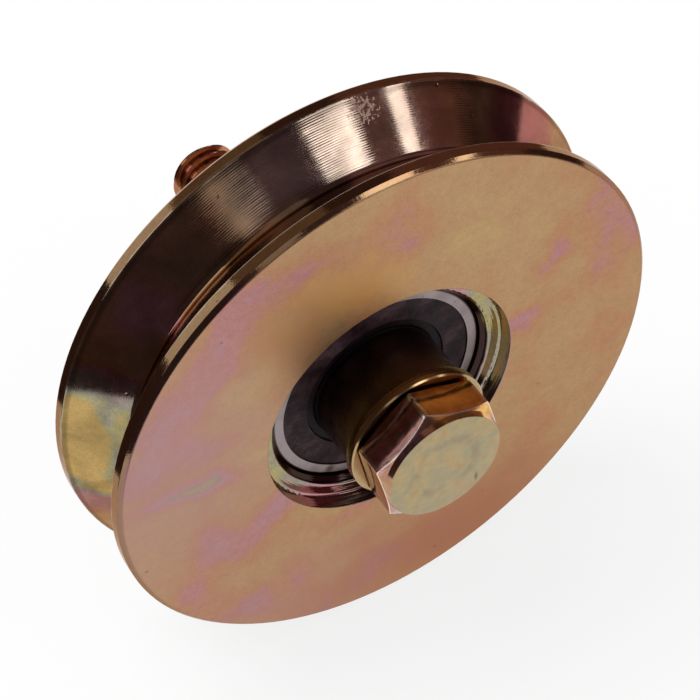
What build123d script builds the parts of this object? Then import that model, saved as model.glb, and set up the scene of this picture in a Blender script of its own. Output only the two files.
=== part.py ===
from build123d import *
import math
import os

# V-groove gate wheel on one sealed ball bearing, with its bolt. Millimetres.
# The wheel's centre is the origin. The wheel turns about Y, with the bolt's head towards -Y.
# Profiles are drawn as radius (x) against place along the axis (y), and turned about Y.

# Wheel, turned in one piece
wheel_diameter = 80.0
wheel_width = 17.3
rim_chamfer = 0.6
rim_land_width = 1.4
groove_angle = 90.0
groove_root_radius = 0.8
rim_edge_round = 0.15

# Hub of the wheel
counterbore_diameter = 37.0
counterbore_depth = 2.3
counterbore_draft = 0.15
counterbore_corner_radius = 0.5
ledge_edge_radius = 0.45
seat_lip_height = 0.2
seat_lip_width = 0.35
seat_lip_draft = 0.3
rear_opening_diameter = 28.4
rear_opening_chamfer = 0.5

# Ball bearing, 12 x 32 x 10
bearing_bore = 12.0
bearing_diameter = 32.0
bearing_width = 10.0
ring_seat_clearance = 0.01
outer_corner_radius = 0.6
bore_corner_radius = 0.4
ball_count = 7
ball_diameter = 5.953
ball_circle_diameter = 22.0
ball_race_clearance = 0.012
race_radius_ratio = 0.52
race_depth = 1.14
first_ball_angle = 90.0

# Seal and the recess that holds it
seal_recess_wall = 1.9
seal_recess_depth = 1.15
seal_groove_depth = 0.4
seal_groove_width = 0.6
seal_groove_wall = 0.3
seal_bead_clearance = 0.05
seal_face_step = 0.25
seal_thickness = 0.8
seal_lip_clearance = 0.15
seal_lip_width = 1.0
seal_lip_step = 0.3
seal_face_round = 0.15

# Ball cage, two pressed ribbons riveted together
cage_thickness = 0.45
cage_land_clearance = 0.8
cage_pocket_clearance = 0.1
rivet_diameter = 1.0
rivet_head_diameter = 1.8
rivet_head_height = 0.35
rivet_clearance = 0.02

# Spacer bushes between the bearing and what clamps it
bush_diameter = 18.4
bush_length = 8.7
bush_bore = 10.3
bush_spigot_length = 4.9
bush_spigot_clearance = 0.01
bush_chamfer = 0.4

# Hexagon bolt
bolt_diameter = 10.0
bolt_length = 56.5
bolt_thread_length = 27.5
bolt_pitch_diameter = 9.03
bolt_tip_chamfer = 1.0
bolt_fillet_radius = 0.25
head_across_flats = 17.0
head_height = 6.25
head_face_diameter = 15.6
head_face_height = 0.4
head_crown_inset = 0.25
head_crown_height = 0.9
head_crown_round = 0.2
corner_chamfer_angle = 30.0
head_turn = 12.5

# Flat washer under the head
washer_diameter = 20.0
washer_bore = 10.5
washer_thickness = 1.5
washer_edge_chamfer = 0.2

# Split spring washer and nut behind the wheel
spring_washer_diameter = 18.1
spring_washer_bore = 10.2
spring_washer_thickness = 2.2
spring_washer_gap = 0.9
spring_washer_gap_angle = 20.0
nut_across_flats = 17.0
nut_height = 8.0
nut_face_diameter = 16.0
nut_countersink = 0.7
nut_thread_clearance = 0.03
nut_face_gap = 0.1
nut_turn = 20.0

# Places along the axis
wheel_face = wheel_width / 2
bearing_face = bearing_width / 2
bush_end = bearing_face + bush_length
washer_face = bush_end + washer_thickness
head_top = washer_face + head_height
bolt_tip = bolt_length - washer_face
thread_start = bolt_tip - bolt_thread_length
nut_seat = bush_end + spring_washer_thickness
nut_end = nut_seat + nut_height

# Radii of the bearing's inside
ball_radius = ball_diameter / 2
ball_circle_radius = ball_circle_diameter / 2
race_radius = race_radius_ratio * ball_diameter
race_offset = ball_radius + ball_race_clearance - race_radius
land_offset = ball_radius + ball_race_clearance - race_depth
inner_shoulder = ball_circle_radius - land_offset
outer_land = ball_circle_radius + land_offset
seat_radius = bearing_diameter / 2
recess_radius = seat_radius - seal_recess_wall


def turned(outline):
    """A solid of revolution about Y from the points (radius, place) of its half section."""
    return revolve(make_face(Polyline(*outline, close=True)), Axis.Y)


def section(outline):
    """The flat half section itself, for corners that are rounded before it is turned."""
    return make_face(Polyline(*outline, close=True))


def rounded(face, corners, radius):
    """Rounds the section's corners that lie at the points given."""
    chosen = [face.vertices().sort_by_distance(Vector(r, y, 0))[0] for r, y in corners]
    return fillet(chosen, radius)


def along(y):
    """A plane across the axis at y, looking towards the bolt's head."""
    return Plane(origin=(0, y, 0), x_dir=(1, 0, 0), z_dir=(0, -1, 0))


def around(index, count, radius, first_angle):
    """The point of a ring of equal places about Y."""
    angle = math.radians(first_angle + index * 360 / count)
    return Vector(radius * math.cos(angle), 0, radius * math.sin(angle))


def mirrored(solid):
    """The same piece on the other side of the wheel's middle plane."""
    return mirror(solid, about=Plane.XZ)


def wheel():
    rim = wheel_diameter / 2
    crest = wheel_face - rim_chamfer - rim_land_width
    root = rim - crest / math.tan(math.radians(groove_angle / 2))
    mouth = counterbore_diameter / 2
    ledge = wheel_face - counterbore_depth
    lip_top = bearing_face + seat_lip_width
    lip_foot = bearing_face - outer_corner_radius / 2
    lip_radius = seat_radius - seat_lip_height
    opening = rear_opening_diameter / 2
    front_rim = [
        (rim - rim_chamfer, -wheel_face),
        (rim, -wheel_face + rim_chamfer),
        (rim, -crest),
    ]
    rear_rim = [(r, -y) for r, y in reversed(front_rim)]
    hub_rear = [
        (opening + rear_opening_chamfer, wheel_face),
        (opening, wheel_face - rear_opening_chamfer),
        (opening, bearing_face),
        (seat_radius, bearing_face),
    ]
    hub_front = [
        (seat_radius, -lip_foot),
        (lip_radius, -lip_foot - seat_lip_height),
        (lip_radius, -lip_top),
        (seat_radius + seat_lip_draft, -lip_top - seat_lip_height - seat_lip_draft),
        (seat_radius + seat_lip_draft, -ledge),
        (mouth - counterbore_draft, -ledge),
        (mouth, -wheel_face),
    ]
    half = section(front_rim + [(root, 0)] + rear_rim + hub_rear + hub_front)
    half = rounded(half, [(root, 0)], groove_root_radius)
    half = rounded(half, front_rim + rear_rim, rim_edge_round)
    half = rounded(half, [hub_front[5]], counterbore_corner_radius)
    half = rounded(half, [hub_front[4]], ledge_edge_radius)
    half = rounded(half, [hub_front[6]], rim_edge_round)
    return revolve(half, Axis.Y)


def race_cut(radius):
    return Pos(radius, 0, 0) * Circle(race_radius)


def bearing_outer_ring():
    outside = seat_radius - ring_seat_clearance
    recess = recess_radius
    groove = recess + seal_groove_depth
    floor = bearing_face - seal_recess_depth
    groove_low = bearing_face - seal_groove_wall - seal_groove_width
    groove_high = bearing_face - seal_groove_wall
    rear_inside = [
        (recess, bearing_face),
        (recess, groove_high),
        (groove, groove_high),
        (groove, groove_low),
        (recess, groove_low),
        (recess, floor),
        (outer_land, floor),
    ]
    front_inside = [(r, -y) for r, y in reversed(rear_inside)]
    corners = [(outside, -bearing_face), (outside, bearing_face)]
    half = rounded(section(corners + rear_inside + front_inside), corners, outer_corner_radius)
    return revolve(half - race_cut(ball_circle_radius + race_offset), Axis.Y)


def bearing_inner_ring():
    bore = bearing_bore / 2
    corners = [(bore, -bearing_face), (bore, bearing_face)]
    outline = corners + [(inner_shoulder, bearing_face), (inner_shoulder, -bearing_face)]
    half = rounded(section(outline), corners, bore_corner_radius)
    return revolve(half - race_cut(ball_circle_radius - race_offset), Axis.Y)


def ball_sphere(index, radius):
    """A sphere in one ball's place, with its poles fore and aft."""
    place = around(index, ball_count, ball_circle_radius, first_ball_angle)
    return Pos(place) * Rot(90, 0, 0) * Sphere(radius)


def ball(index):
    return ball_sphere(index, ball_radius)


def front_seal():
    face = -(bearing_face - seal_face_step)
    back = face + seal_thickness
    body = recess_radius - seal_bead_clearance
    bead = body + seal_groove_depth - seal_bead_clearance
    bead_front = -(bearing_face - seal_groove_wall) + seal_bead_clearance
    bead_back = bead_front + seal_groove_width - 2 * seal_bead_clearance
    lip = inner_shoulder + seal_lip_clearance
    step = lip + seal_lip_width
    outline = [
        (lip, face + seal_lip_step),
        (step, face + seal_lip_step),
        (step + seal_face_round, face),
        (body, face),
        (body, bead_front),
        (bead, bead_front),
        (bead, bead_back),
        (body, bead_back),
        (body, back),
        (step, back),
        (lip, back - seal_lip_step / 2),
    ]
    return turned(outline)


def front_cage_half():
    inside = inner_shoulder + cage_land_clearance
    outside = outer_land - cage_land_clearance
    pocket = ball_radius + cage_pocket_clearance
    reach = pocket + cage_thickness
    ribbon = turned([(inside, -cage_thickness), (outside, -cage_thickness), (outside, 0), (inside, 0)])
    tube = turned([(inside, -reach), (outside, -reach), (outside, 0), (inside, 0)])
    for index in range(ball_count):
        ribbon += tube & ball_sphere(index, reach)
    for index in range(ball_count):
        ribbon -= ball_sphere(index, pocket)
        hole = around(index + 0.5, ball_count, ball_circle_radius, first_ball_angle)
        ribbon -= Pos(hole) * Rot(90, 0, 0) * Cylinder(rivet_diameter / 2, 4 * cage_thickness)
    return ribbon


def cage_rivet(index):
    pin = rivet_diameter / 2 - rivet_clearance
    head = rivet_head_diameter / 2
    top = cage_thickness + rivet_head_height
    shoulder = cage_thickness + rivet_head_height / 2
    quarter = [(head, cage_thickness), (head, shoulder), (pin, top), (0, top)]
    outline = [(0, -top), (pin, -top), (head, -shoulder), (head, -cage_thickness), (pin, -cage_thickness)]
    outline += [(pin, cage_thickness)] + quarter
    place = around(index + 0.5, ball_count, ball_circle_radius, first_ball_angle)
    return Pos(place) * turned(outline)


def front_bush():
    outside = bush_diameter / 2
    bore = bush_bore / 2
    spigot = bearing_bore / 2 - bush_spigot_clearance
    spigot_end = -(bearing_face - bush_spigot_length)
    outline = [
        (bore, -bush_end),
        (outside - bush_chamfer, -bush_end),
        (outside, -bush_end + bush_chamfer),
        (outside, -bearing_face),
        (spigot, -bearing_face),
        (spigot, spigot_end),
        (bore, spigot_end),
    ]
    return turned(outline)


def hexagon(across_flats, turn, low, high):
    """A hexagonal prism between two places on the axis, with a corner turned from the top."""
    outline = Rot(0, 0, 90 + turn) * RegularPolygon(across_flats / 2, 6, major_radius=False)
    return extrude(along(high) * outline, high - low)


def corner_drop(across_flats, radius):
    """How far the corner chamfer has fallen just outside a hexagon's corners, and where that is."""
    corner = across_flats / math.sqrt(3) + 1
    return corner, (corner - radius) * math.tan(math.radians(corner_chamfer_angle))


def head_envelope(hex_foot):
    """The turned crown and corner chamfer of the bolt's head."""
    flat = head_across_flats / 2
    corner, drop = corner_drop(head_across_flats, flat)
    crown_foot = -head_top + head_crown_height
    crown_edge = (flat - head_crown_inset, -head_top)
    outline = [(0, -head_top), crown_edge, (flat, crown_foot), (corner, crown_foot + drop)]
    half = section(outline + [(corner, hex_foot), (0, hex_foot)])
    return revolve(rounded(half, [crown_edge], head_crown_round), Axis.Y)


def hex_bolt():
    shank = bolt_diameter / 2
    held_thread = bolt_pitch_diameter / 2
    free_thread = nut_end + nut_face_gap
    hex_foot = -(washer_face + head_face_height)
    head = hexagon(head_across_flats, head_turn, -head_top, hex_foot) & head_envelope(hex_foot)
    stem = section([
        (0, hex_foot),
        (head_face_diameter / 2, hex_foot),
        (head_face_diameter / 2, -washer_face),
        (shank, -washer_face),
        (shank, thread_start),
        (held_thread, thread_start),
        (held_thread, free_thread),
        (shank, free_thread),
        (shank, bolt_tip - bolt_tip_chamfer),
        (shank - bolt_tip_chamfer, bolt_tip),
        (0, bolt_tip),
    ])
    stem = rounded(stem, [(shank, -washer_face)], bolt_fillet_radius)
    return head + revolve(stem, Axis.Y)


def front_washer():
    outside = washer_diameter / 2
    outline = [
        (washer_bore / 2, -washer_face),
        (outside - washer_edge_chamfer, -washer_face),
        (outside, -washer_face + washer_edge_chamfer),
        (outside, -bush_end),
        (washer_bore / 2, -bush_end),
    ]
    return turned(outline)


def spring_washer():
    inside = spring_washer_bore / 2
    outside = spring_washer_diameter / 2
    ring = turned([(inside, bush_end), (outside, bush_end), (outside, nut_seat), (inside, nut_seat)])
    middle = Pos(0, (bush_end + nut_seat) / 2, (inside + outside) / 2)
    cut = Box(spring_washer_gap, 2 * spring_washer_diameter, outside)
    return ring - middle * Rot(0, 0, spring_washer_gap_angle) * cut


def lock_nut():
    hole = bolt_pitch_diameter / 2 + nut_thread_clearance
    flat = nut_face_diameter / 2
    corner, drop = corner_drop(nut_across_flats, flat)
    envelope = turned([
        (0, nut_seat),
        (flat, nut_seat),
        (corner, nut_seat + drop),
        (corner, nut_end - drop),
        (flat, nut_end),
        (0, nut_end),
    ])
    body = hexagon(nut_across_flats, nut_turn, nut_seat, nut_end) & envelope
    mouth = hole + nut_countersink
    thread = [
        (0, nut_seat),
        (mouth, nut_seat),
        (hole, nut_seat + nut_countersink),
        (hole, nut_end - nut_countersink),
        (mouth, nut_end),
        (0, nut_end),
    ]
    return body - turned(thread)


def pieces():
    """Every piece by its name."""
    named = {
        "wheel": wheel(),
        "bearing_outer_ring": bearing_outer_ring(),
        "bearing_inner_ring": bearing_inner_ring(),
        "front_seal": front_seal(),
        "rear_seal": mirrored(front_seal()),
        "front_cage_half": front_cage_half(),
        "rear_cage_half": mirrored(front_cage_half()),
        "front_bush": front_bush(),
        "rear_bush": mirrored(front_bush()),
        "front_washer": front_washer(),
        "hex_bolt": hex_bolt(),
        "spring_washer": spring_washer(),
        "lock_nut": lock_nut(),
    }
    for index in range(ball_count):
        named[f"ball_{index + 1}"] = ball(index)
        named[f"cage_rivet_{index + 1}"] = cage_rivet(index)
    return named


os.makedirs("parts", exist_ok=True)
for name, piece in pieces().items():
    export_step(piece, f"parts/{name}.step")
    print(name, "volume", round(piece.volume, 1))
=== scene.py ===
# %% [markdown]
# V-groove gate wheel: dressing the CAD model for its picture
#
# The object is a sliding gate's wheel: a turned steel wheel with a V groove that runs on an angle-iron
# rail, one sealed ball bearing pressed into its hub, and a hexagon bolt that clamps the bearing between
# two spacer bushes. Nearly all of it is plated with zinc and dipped in chromate, which gives the gold
# colour with its pink and green clouds. The CAD model arrives with every shape in its place. This
# script models the bolt again with a real thread and the nut with rounded corners, gives each shape its
# finish, and sets up the studio.

# %% Load the frame
import math

import bmesh
import bpy
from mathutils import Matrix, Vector


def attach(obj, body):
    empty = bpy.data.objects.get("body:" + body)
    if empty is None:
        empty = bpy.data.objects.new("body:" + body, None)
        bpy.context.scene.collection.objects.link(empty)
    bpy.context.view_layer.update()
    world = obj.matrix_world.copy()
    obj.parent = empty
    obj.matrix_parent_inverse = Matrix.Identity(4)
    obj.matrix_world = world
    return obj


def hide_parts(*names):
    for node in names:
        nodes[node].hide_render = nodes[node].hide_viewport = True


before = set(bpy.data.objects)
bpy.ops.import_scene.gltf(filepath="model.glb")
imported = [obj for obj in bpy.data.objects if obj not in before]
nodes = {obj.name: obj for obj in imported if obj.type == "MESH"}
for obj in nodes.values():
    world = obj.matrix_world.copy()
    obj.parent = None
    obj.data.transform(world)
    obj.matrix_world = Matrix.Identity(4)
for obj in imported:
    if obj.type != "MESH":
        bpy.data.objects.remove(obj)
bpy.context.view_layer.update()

# %% [markdown]
# A camera with the photograph's view
#
# The wheel was photographed from above, in front and a little to its left, through a long lens, so its
# round outlines are ellipses with hardly any perspective. One direction turns the camera here: the one
# from the wheel towards the camera, written in the object's own frame. It says more plainly than three
# turned angles where the camera looks, and the picture's upright follows from it.

# %% Camera
mm = 0.001
towards_camera = Vector((-0.34916143, -0.56604741, 0.74677749))
camera_place = Vector((-0.130274, -0.209614, 0.278760))
camera_data = bpy.data.cameras.new("view_camera")
camera_data.sensor_width = 36.0
camera_data.lens = 146.38
camera_data.clip_start = 0.01
camera_data.clip_end = 20.0
camera = bpy.data.objects.new("view_camera", camera_data)
bpy.context.scene.collection.objects.link(camera)
camera.location = camera_place
camera.rotation_mode = "QUATERNION"
camera.rotation_quaternion = (-towards_camera).to_track_quat("-Z", "Y")
bpy.context.scene.camera = camera
print("camera at", [round(c, 4) for c in camera.location], "lens", camera_data.lens)

# %% [markdown]
# Small helpers for modelling
#
# Blender's edit-mode tools act on whatever is selected. When you model by hand you click on faces, and
# when you model in code you pick them by their place instead: the end face of a bar is the face whose
# centre lies furthest along the bar. Three helpers do that here: one clears the selection, one selects
# a single object for the tools to act on, and one picks parts of its mesh by a test.

# %% Helpers: selecting
def deselect_all():
    for thing in list(bpy.context.selected_objects):
        thing.select_set(False)
    bpy.context.view_layer.objects.active = None


def activate(piece):
    """Select this piece alone, as the one that the operators act on."""
    deselect_all()
    piece.select_set(True)
    bpy.context.view_layer.objects.active = piece


def pick(piece, kind, test):
    """In edit mode, select only the verts, edges or faces whose middle passes the test."""
    mesh = bmesh.from_edit_mesh(piece.data)
    for group in (mesh.verts, mesh.edges, mesh.faces):
        for element in group:
            element.select = False
    modes = ("verts", "edges", "faces")
    bpy.context.tool_settings.mesh_select_mode = tuple(kind == mode for mode in modes)
    count = 0
    for element in getattr(mesh, kind):
        if kind == "verts":
            middle = element.co
        elif kind == "edges":
            middle = (element.verts[0].co + element.verts[1].co) / 2
        else:
            middle = element.calc_center_median()
        if test(element, middle):
            element.select_set(True)
            count += 1
    mesh.select_flush_mode()
    bmesh.update_edit_mesh(piece.data)
    return count


deselect_all()
print("helpers ready, selection cleared")

# %% [markdown]
# A bar that is turned on a lathe
#
# The bolt's head, its washer face and its shank are round bars with steps, or hexagon bars. Both can be
# drawn up from one flat disc: extrude the end face a little along the axis, scale it to the next
# radius, and repeat, just as a turner steps down a bar. Spinning a drawn profile would do as well, but
# the disc leaves flat ends that are closed from the start, which the cutting steps later need.

# %% Helpers: drawing up a bar
def draw_up(name, steps, sides=96, corner=90.0):
    """A closed bar along Y, from (radius, place) steps in millimetres; corner is one corner's azimuth."""
    deselect_all()
    radius, place = steps[0]
    bpy.ops.mesh.primitive_circle_add(
        vertices=sides,
        radius=radius * mm,
        fill_type="NGON",
        location=(0, place * mm, 0),
        rotation=(math.pi / 2, math.radians(90.0 - corner), 0),
    )
    bar = bpy.context.active_object
    bar.name = bar.data.name = name
    bpy.ops.object.transform_apply(location=True, rotation=True, scale=True)
    bpy.ops.object.mode_set(mode="EDIT")
    for next_radius, next_place in steps[1:]:
        here = place * mm
        pick(bar, "faces", lambda face, middle: len(face.verts) == sides and abs(middle.y - here) < 1e-6)
        step = (0, (next_place - place) * mm, 0)
        bpy.ops.mesh.extrude_region_move(TRANSFORM_OT_translate={"value": step})
        grow = next_radius / radius
        bpy.ops.transform.resize(value=(grow, 1, grow), center_override=(0, next_place * mm, 0))
        radius, place = next_radius, next_place
    bpy.ops.mesh.select_all(action="SELECT")
    bpy.ops.mesh.normals_make_consistent(inside=False)
    bpy.ops.object.mode_set(mode="OBJECT")
    return bar


def combine(piece, other, operation):
    """Cut two closed pieces, or keep their common part, then drop the other one."""
    cutter = piece.modifiers.new(operation.lower(), "BOOLEAN")
    cutter.operation = operation
    cutter.solver = "EXACT"
    cutter.object = other
    activate(piece)
    bpy.ops.object.modifier_apply(modifier=cutter.name)
    bpy.data.objects.remove(other)


print("bar helpers ready")

# %% [markdown]
# Rounded corners
#
# No edge on a forged or turned part is perfectly sharp, and it is the thin rounded edges that catch the
# light. A hexagon bar gets its six long corners rounded first, before its ends are chamfered. The edges
# that are left sharp get a much smaller rounding at the end, as tumbling and plating give them. A
# closed piece has two faces at every edge, so counting the other edges shows whether a step went wrong.

# %% Helpers: rounding and shading
def round_corners(piece):
    """Round the six long edges of a hexagon bar, and say how many there were."""
    activate(piece)
    bpy.ops.object.mode_set(mode="EDIT")
    long_edge = 3 * mm
    count = pick(
        piece,
        "edges",
        lambda edge, middle: abs(edge.verts[0].co.y - edge.verts[1].co.y) > long_edge,
    )
    bpy.ops.mesh.bevel(offset=0.22 * mm, segments=3, affect="EDGES")
    bpy.ops.object.mode_set(mode="OBJECT")
    return count


def shade_smooth(piece, angle):
    """Shade smooth, but leave edges that turn by more than this angle sharp."""
    activate(piece)
    bpy.ops.object.shade_smooth_by_angle(angle=math.radians(angle))


def soften(piece):
    """Round the sharp edges a little, as tumbling and plating do, and shade smooth by angle."""
    rounder = piece.modifiers.new("rounder", "BEVEL")
    rounder.width = 0.09 * mm
    rounder.segments = 2
    rounder.limit_method = "ANGLE"
    rounder.angle_limit = math.radians(24)
    rounder.use_clamp_overlap = True
    activate(piece)
    bpy.ops.object.modifier_apply(modifier=rounder.name)
    shade_smooth(piece, 30)


def open_edges(piece):
    """How many edges don't have exactly two faces; a closed piece has none."""
    mesh = bmesh.new()
    mesh.from_mesh(piece.data)
    count = sum(1 for edge in mesh.edges if len(edge.link_faces) != 2)
    mesh.free()
    return count


print("rounding helpers ready")

# %% [markdown]
# The bolt's head
#
# A bolt's head is forged as a hexagon and then its top is turned or pressed to a crown, which also
# takes a slanted bite out of each of the six corners. The curved line on each flat is where that cone
# meets the hexagon. Drawing those curves by hand is hard, but they come by themselves when a hexagon
# bar and a crowned round bar are made and only their common part is kept.

# %% Bolt head
across_flats = 17.0
flat = across_flats / 2
chamfer_slope = math.tan(math.radians(30))
corner_radius = flat / math.cos(math.radians(30))
corner_drop = (corner_radius - flat) * chamfer_slope
head_top, crown_height, hex_foot, washer_foot = -21.45, 0.9, -15.6, -15.2
crown_foot = head_top + crown_height
bolt_corner, nut_corner = 102.5, 110.0
spare = 0.2

bolt = draw_up("threaded_bolt", [(corner_radius, hex_foot), (corner_radius, head_top)], 6, bolt_corner)
rounded = round_corners(bolt)
crown = draw_up(
    "crown",
    [
        (corner_radius + spare, hex_foot + 0.1),
        (corner_radius + spare, crown_foot + corner_drop + spare * chamfer_slope),
        (flat, crown_foot),
        (flat - 0.20, head_top + 0.14),
        (flat - 0.26, head_top + 0.04),
        (flat - 0.38, head_top),
    ],
)
combine(bolt, crown, "INTERSECT")
soften(bolt)
print("head: corners rounded", rounded, "open edges", open_edges(bolt), "faces", len(bolt.data.polygons))

# %% [markdown]
# The rolled thread
#
# The thread is what a plain CAD rod lacks, and it shows where the bolt stands out behind the wheel.
# One tooth of the thread is drawn as a short line of edges, and the Screw modifier winds it up along
# the axis, one pitch for each turn. That gives a long spiral ribbon with an open loop at each end. The
# two loops are picked by their place and filled one after the other, because filling both at once would
# stretch faces from one end to the other.

# %% Thread
pitch = 1.5
crest_radius = 4.95
root_radius = 4.09
thread_start, thread_end = 13.8, 41.3
turns, steps_in_turn = 20, 48
first_place = thread_start - 0.6 * pitch
weld = 0.001 * mm
tooth = [
    (root_radius, 0.0),
    (root_radius + 0.02, 0.16),
    (crest_radius - 0.07, 0.61),
    (crest_radius, 0.68),
    (crest_radius, 0.82),
    (crest_radius - 0.07, 0.89),
    (root_radius + 0.02, 1.34),
    (root_radius, 1.5),
]
deselect_all()
bpy.ops.mesh.primitive_circle_add(vertices=3, radius=1 * mm, fill_type="NOTHING")
thread = bpy.context.active_object
thread.name = thread.data.name = "thread"
bpy.ops.object.mode_set(mode="EDIT")
line = bmesh.from_edit_mesh(thread.data)
for vertex in list(line.verts):
    line.verts.remove(vertex)
path = [line.verts.new((r * mm, (first_place + along) * mm, 0)) for r, along in tooth]
for first, second in zip(path, path[1:]):
    line.edges.new((first, second))
bmesh.update_edit_mesh(thread.data)
bpy.ops.object.mode_set(mode="OBJECT")
winding = thread.modifiers.new("winding", "SCREW")
winding.axis = "Y"
winding.angle = 2 * math.pi
winding.screw_offset = pitch * mm
winding.iterations = turns
winding.steps = winding.render_steps = steps_in_turn
winding.use_merge_vertices = True
winding.merge_threshold = weld
bpy.ops.object.modifier_apply(modifier=winding.name)
bpy.ops.object.mode_set(mode="EDIT")
bpy.ops.mesh.select_all(action="SELECT")
bpy.ops.mesh.remove_doubles(threshold=weld)
half_way = (thread_start + thread_end) / 2 * mm
for rear_end in (False, True):
    pick(thread, "edges", lambda edge, middle: edge.is_boundary and (middle.y > half_way) == rear_end)
    bpy.ops.mesh.fill(use_beauty=False)
bpy.ops.mesh.select_all(action="SELECT")
bpy.ops.mesh.normals_make_consistent(inside=False)
bpy.ops.object.mode_set(mode="OBJECT")
print("thread: open edges", open_edges(thread), "faces", len(thread.data.polygons))

# %% [markdown]
# The thread's chamfered tip
#
# A bolt's end is chamfered, so that it finds its way into the nut, and the thread fades out over that
# slope. The wound thread is a little too long at both ends. A round bar with a chamfered end is drawn
# up round it, and only what lies inside that bar is kept, which trims both ends in one cut.

# %% Keep the thread inside its chamfered bar
tip = draw_up(
    "tip",
    [
        (5.2, thread_start + 0.05),
        (5.2, thread_end - 1.25),
        (4.95, thread_end - 1.0),
        (4.2, thread_end - 0.18),
        (3.95, thread_end - 0.04),
        (3.7, thread_end),
    ],
)
combine(thread, tip, "INTERSECT")
shade_smooth(thread, 28)
print("trimmed: open edges", open_edges(thread), "faces", len(thread.data.polygons))

# %% [markdown]
# One bolt out of three parts
#
# The washer face under the head and the plain shank are drawn up as one bar. Since a bolt is one piece
# of steel, the three parts are then joined into one object that rides on the axle and stands for the
# CAD bolt. The shank's end is buried a little inside the thread, so no gap shows.

# %% Shank, and joining
shank = draw_up(
    "shank",
    [
        (7.8, hex_foot - 0.02),
        (7.8, washer_foot - 0.06),
        (7.74, washer_foot),
        (5.25, washer_foot),
        (5.08, washer_foot + 0.08),
        (5.0, washer_foot + 0.25),
        (5.0, thread_start - 0.55),
        (4.6, thread_start),
        (4.2, thread_start + 0.5),
    ],
)
shade_smooth(shank, 30)
thread.select_set(True)
bolt.select_set(True)
bpy.context.view_layer.objects.active = bolt
bpy.ops.object.join()
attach(bolt, "axle")
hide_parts("hex_bolt")
print("bolt faces:", len(bolt.data.polygons), "length:", round((thread_end - washer_foot), 2), "mm")

# %% [markdown]
# The nut
#
# The nut clamps the whole stack from behind. It is a hexagon bar whose corners are chamfered on both
# sides, with a hole and a countersink at each end. It is made in the same way as the head: a hexagon
# bar and a bar with two cones, common part kept, and then the countersunk hole is cut out.

# %% Nut
nut_seat, nut_end, nut_face = 15.9, 23.9, 8.0
nut = draw_up("hexagon_nut", [(corner_radius, nut_seat), (corner_radius, nut_end)], 6, nut_corner)
round_corners(nut)
drop = (corner_radius - nut_face) * chamfer_slope
cones = draw_up(
    "cones",
    [
        (nut_face, nut_seat),
        (corner_radius, nut_seat + drop),
        (corner_radius + 0.1, nut_seat + drop + 0.06),
        (corner_radius + 0.1, nut_end - drop - 0.06),
        (corner_radius, nut_end - drop),
        (nut_face, nut_end),
    ],
)
combine(nut, cones, "INTERSECT")
hole = draw_up(
    "hole",
    [
        (5.9, nut_seat - 0.3),
        (5.7, nut_seat),
        (5.0, nut_seat + 0.7),
        (5.0, nut_end - 0.7),
        (5.7, nut_end),
        (5.9, nut_end + 0.3),
    ],
)
combine(nut, hole, "DIFFERENCE")
soften(nut)
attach(nut, "axle")
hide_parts("lock_nut")
print("nut: open edges", open_edges(nut), "faces", len(nut.data.polygons))

# %% [markdown]
# A kit for building materials
#
# Every finish here is a small network of shader nodes. Writing such a network in code gets long, so a
# little kit makes a node, sets its values and plugs its inputs in one call. All patterns read Object
# coordinates: the CAD meshes have no UV maps, and since every piece is modelled in its place, Object
# coordinates are simply the place on the real wheel, in metres.

# %% Helpers: one node
def add(tree, kind, settings=None, **inputs):
    """Make a node; inputs are values or sockets, and a name's underscores stand for spaces."""
    node = tree.nodes.new(kind)
    for name, value in (settings or {}).items():
        setattr(node, name, value)
    for name, value in inputs.items():
        numbered = name[0] == "i" and name[1:].isdigit()
        socket = node.inputs[int(name[1:]) if numbered else name.replace("_", " ")]
        if isinstance(value, bpy.types.NodeSocket):
            tree.links.new(value, socket)
        elif socket.type == "RGBA" and len(value) == 3:
            socket.default_value = (*value, 1.0)
        else:
            socket.default_value = value
    return node


def sums(tree, operation, first, second=0.0, third=0.0, clamp=False):
    """One Math node, as a socket."""
    settings = {"operation": operation, "use_clamp": clamp}
    return add(tree, "ShaderNodeMath", settings, i0=first, i1=second, i2=third).outputs[0]


def plus(tree, first, second, clamp=False):
    return sums(tree, "ADD", first, second, clamp=clamp)


def minus(tree, first, second):
    return sums(tree, "SUBTRACT", first, second)


def times(tree, first, second, clamp=False):
    return sums(tree, "MULTIPLY", first, second, clamp=clamp)


def stretch(tree, value, by, start, clamp=False):
    """A value times one number, counted on from another."""
    return sums(tree, "MULTIPLY_ADD", value, by, start, clamp)


def larger(tree, first, second):
    return sums(tree, "MAXIMUM", first, second)


def size_of(tree, value):
    """The value without its sign."""
    return sums(tree, "ABSOLUTE", value)


def vectors(tree, operation, first, second):
    """One Vector Math node, as a socket."""
    return add(tree, "ShaderNodeVectorMath", {"operation": operation}, i0=first, i1=second).outputs[0]


def scaled(tree, vector, factor):
    """A colour or a vector, times one number."""
    settings = {"operation": "SCALE"}
    return add(tree, "ShaderNodeVectorMath", settings, i0=vector, Scale=factor).outputs[0]


def length(tree, vector):
    return add(tree, "ShaderNodeVectorMath", {"operation": "LENGTH"}, i0=vector).outputs["Value"]


print("node helpers ready")

# %% [markdown]
# Noise, ranges and mixes
#
# Most patterns are one Noise texture whose grey value is spread over a range, and then used to mix two
# colours or two numbers. The Map Range node spreads a value, and with smooth steps its ends are soft.
# If its first limit is the higher one, it fades the other way, which turns a distance into a spot.

# %% Helpers: noise, ranges and mixes
def noise(tree, point, scale, detail, roughness, distortion=0.0, output="Fac"):
    """A Noise texture's grey value, or its colour; scale is in lumps to the metre."""
    node = add(
        tree,
        "ShaderNodeTexNoise",
        Vector=point,
        Scale=scale,
        Detail=detail,
        Roughness=roughness,
        Distortion=distortion,
    )
    return node.outputs[output]


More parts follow.
